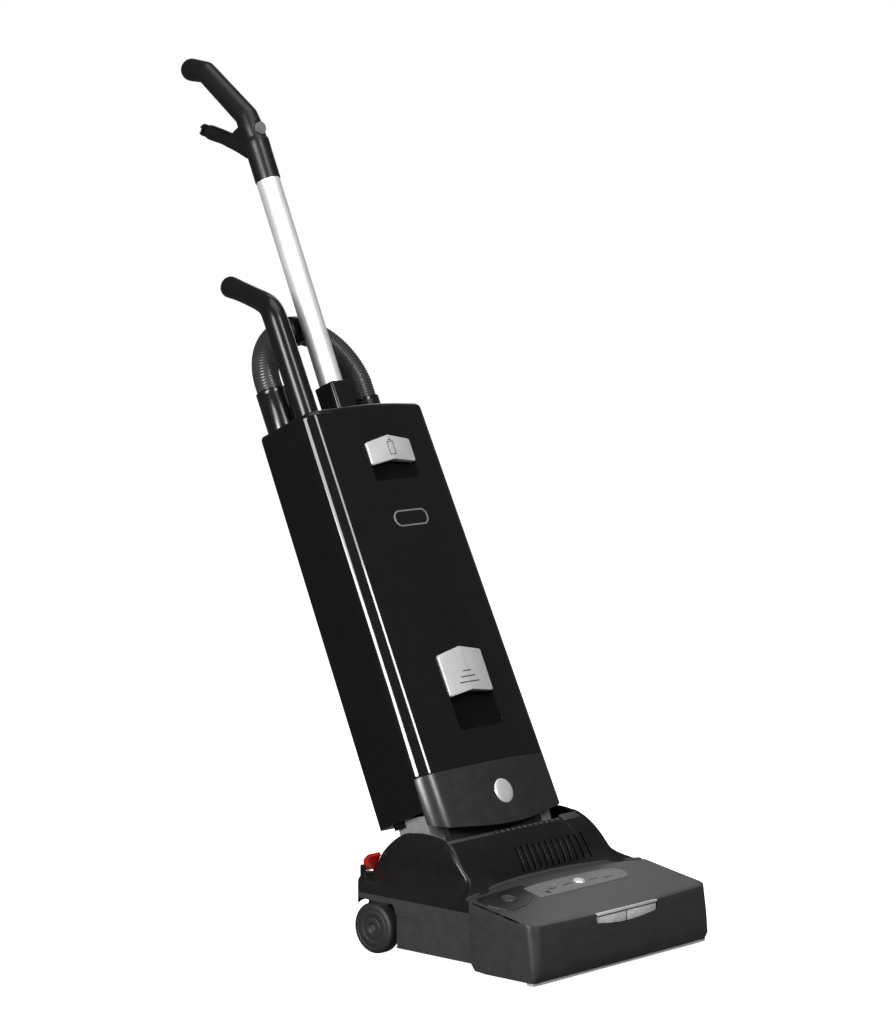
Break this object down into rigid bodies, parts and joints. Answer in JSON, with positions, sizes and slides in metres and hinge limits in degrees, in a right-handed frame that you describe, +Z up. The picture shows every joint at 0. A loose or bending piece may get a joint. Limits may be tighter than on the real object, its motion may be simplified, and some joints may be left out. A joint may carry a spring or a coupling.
{
  "type": "upright vacuum cleaner",
  "caption": "Upright vacuum cleaner: brush head on wheels, leaning body with bag door and latches, hose arch, lift-out wand, tube handle with hand grip.",
  "frame": {"origin": "floor level, under the middle of the whole object's box at rest", "axes": "+Z up, -Y towards the front of the brush head, X across the head, with the wand on the -X side"},
  "size_m": [0.366, 0.8395, 1.2109],
  "materials": {
    "gloss_black": "polished black moulding",
    "satin_black": "satin black moulding",
    "hood_grey": "satin dark grey moulding",
    "neck_grey": "satin light grey moulding",
    "silver": "metallic silver plastic",
    "panel_grey": "printed film label",
    "strip_grey": "light grey wear strip",
    "inner_black": "plain black moulding",
    "hose_black": "ribbed flexible hose",
    "rubber": "moulded rubber",
    "aluminium": "satin anodised tube",
    "steel": "bright steel",
    "motor_steel": "laminated iron and casing",
    "fan_alloy": "cast fan and rotor",
    "bearing_plastic": "acetal bearing",
    "bristle": "nylon bristle",
    "pedal_red": "red moulding",
    "pedal_grey": "dark grey moulding",
    "lens": "clear lens",
    "board_green": "circuit board",
    "bag_paper": "fleece dust bag",
    "filter_white": "filter fleece and foam"
  },
  "bodies": {
    "head": {"base_housing": "hood_grey", "sole_plate": "steel", "wear_strip": "strip_grey", "skirt_band": "hood_grey", "dome_cover": "satin_black", "front_hood": "hood_grey", "hood_trim": "hood_grey", "control_panel": "panel_grey", "indicator_lights": "lens", "release_surround": "satin_black", "headlight_frame": "inner_black", "headlight_lens": "lens", "circuit_boards": "board_green", "brush_motor": "motor_steel", "suction_duct": "inner_black", "drive_belt": "rubber", "brush_bearings": "steel", "pivot_bushes": "bearing_plastic", "axles": "steel", "pins_and_screws": "steel", "power_switch": "inner_black"},
    "brush": {"brush_core": "bearing_plastic", "brush_bristles": "bristle", "brush_pulley": "bearing_plastic"},
    "motor_shaft": {"motor_rotor": "motor_steel", "motor_pulley": "steel"},
    "wheel_left": {"wheel_left": "hood_grey"},
    "wheel_right": {"wheel_right": "hood_grey"},
    "roller_left": {"front_roller_left": "rubber"},
    "roller_right": {"front_roller_right": "rubber"},
    "power_pedal": {"power_pedal": "pedal_red"},
    "recline_pedal": {"recline_pedal": "pedal_grey"},
    "panel_button": {"panel_button": "silver"},
    "brush_release": {"brush_release_button": "panel_grey"},
    "upright": {"neck_drum": "inner_black", "neck_yoke": "neck_grey", "neck_duct": "inner_black", "rear_shell": "gloss_black", "lower_band": "hood_grey", "band_cap": "silver", "motor_deck": "inner_black", "suction_motor": "steel", "motor_mounts": "rubber", "filter_bag": "bag_paper", "filters": "filter_white", "hose_ducts": "satin_black", "hose": "hose_black", "hose_fittings": "satin_black", "wand_guide": "satin_black", "tube_socket": "satin_black", "handle_tube": "aluminium", "handle_grip": "satin_black", "rear_fittings": "satin_black"},
    "fan": {"suction_rotor": "fan_alloy"},
    "wand": {"wand": "satin_black"},
    "grip_button": {"grip_button": "silver"},
    "cable_hook": {"cable_hook": "satin_black"},
    "door": {"bag_door": "gloss_black"},
    "door_latch": {"door_latch": "silver"},
    "filter_latch": {"filter_latch": "silver"}
  },
  "joints": [
    {"name": "tilt", "type": "hinge", "parent": "head", "child": "upright", "pos_m": [0, -0.1865, 0.086], "axis": [1, 0, 0], "range_deg": [-60, 18]},
    {"name": "brush_spin", "type": "hinge", "parent": "head", "child": "brush", "pos_m": [0, -0.3615, 0.036], "axis": [1, 0, 0], "continuous": true},
    {"name": "motor_spin", "type": "hinge", "parent": "head", "child": "motor_shaft", "pos_m": [0, -0.2895, 0.052], "axis": [1, 0, 0], "continuous": true},
    {"name": "wheel_left_spin", "type": "hinge", "parent": "head", "child": "wheel_left", "pos_m": [-0.1675, -0.1245, 0.035], "axis": [1, 0, 0], "continuous": true},
    {"name": "wheel_right_spin", "type": "hinge", "parent": "head", "child": "wheel_right", "pos_m": [0.1675, -0.1245, 0.035], "axis": [1, 0, 0], "continuous": true},
    {"name": "roller_left_spin", "type": "hinge", "parent": "head", "child": "roller_left", "pos_m": [-0.141, -0.2955, 0.009], "axis": [1, 0, 0], "continuous": true},
    {"name": "roller_right_spin", "type": "hinge", "parent": "head", "child": "roller_right", "pos_m": [0.141, -0.2955, 0.009], "axis": [1, 0, 0], "continuous": true},
    {"name": "power_pedal_press", "type": "hinge", "parent": "head", "child": "power_pedal", "pos_m": [-0.156, -0.1, 0.114], "axis": [-1, 0, 0], "range_deg": [0, 8], "stiffness_Nm_per_rad": 3},
    {"name": "recline_pedal_press", "type": "hinge", "parent": "head", "child": "recline_pedal", "pos_m": [0.156, -0.1, 0.114], "axis": [-1, 0, 0], "range_deg": [0, 8], "stiffness_Nm_per_rad": 3},
    {"name": "panel_button_press", "type": "slide", "parent": "head", "child": "panel_button", "axis": [0, 0.1697, -0.9855], "range_m": [0, 0.002], "stiffness_N_per_m": 400},
    {"name": "brush_release_press", "type": "slide", "parent": "head", "child": "brush_release", "axis": [0, 0.1697, -0.9855], "range_m": [0, 0.0022], "stiffness_N_per_m": 400},
    {"name": "fan_spin", "type": "hinge", "parent": "upright", "child": "fan", "pos_m": [0, -0.11084, 0.27131], "axis": [0, 0.4147, 0.91], "continuous": true},
    {"name": "wand_lift", "type": "slide", "parent": "upright", "child": "wand", "axis": [0, 0.4147, 0.91], "range_m": [0, 0.18]},
    {"name": "grip_button_press", "type": "slide", "parent": "upright", "child": "grip_button", "axis": [0, 0.9799, -0.1994], "range_m": [0, 0.0015], "stiffness_N_per_m": 400},
    {"name": "cable_hook_turn", "type": "hinge", "parent": "upright", "child": "cable_hook", "pos_m": [0, 0.36212, 1.10561], "axis": [0, 0.9681, 0.2504], "range_deg": [-90, 90]},
    {"name": "door_open", "type": "hinge", "parent": "upright", "child": "door", "pos_m": [0, -0.18579, 0.25008], "axis": [1, 0, 0], "range_deg": [0, 60]},
    {"name": "door_latch_slide", "type": "slide", "parent": "door", "child": "door_latch", "axis": [0, -0.4147, -0.91], "range_m": [0, 0.008], "stiffness_N_per_m": 300},
    {"name": "filter_latch_slide", "type": "slide", "parent": "door", "child": "filter_latch", "axis": [0, -0.4147, -0.91], "range_m": [0, 0.008], "stiffness_N_per_m": 300}
  ],
  "couplings": [
    {"joint": "motor_spin", "follows": "brush_spin", "ratio": 2}
  ]
}
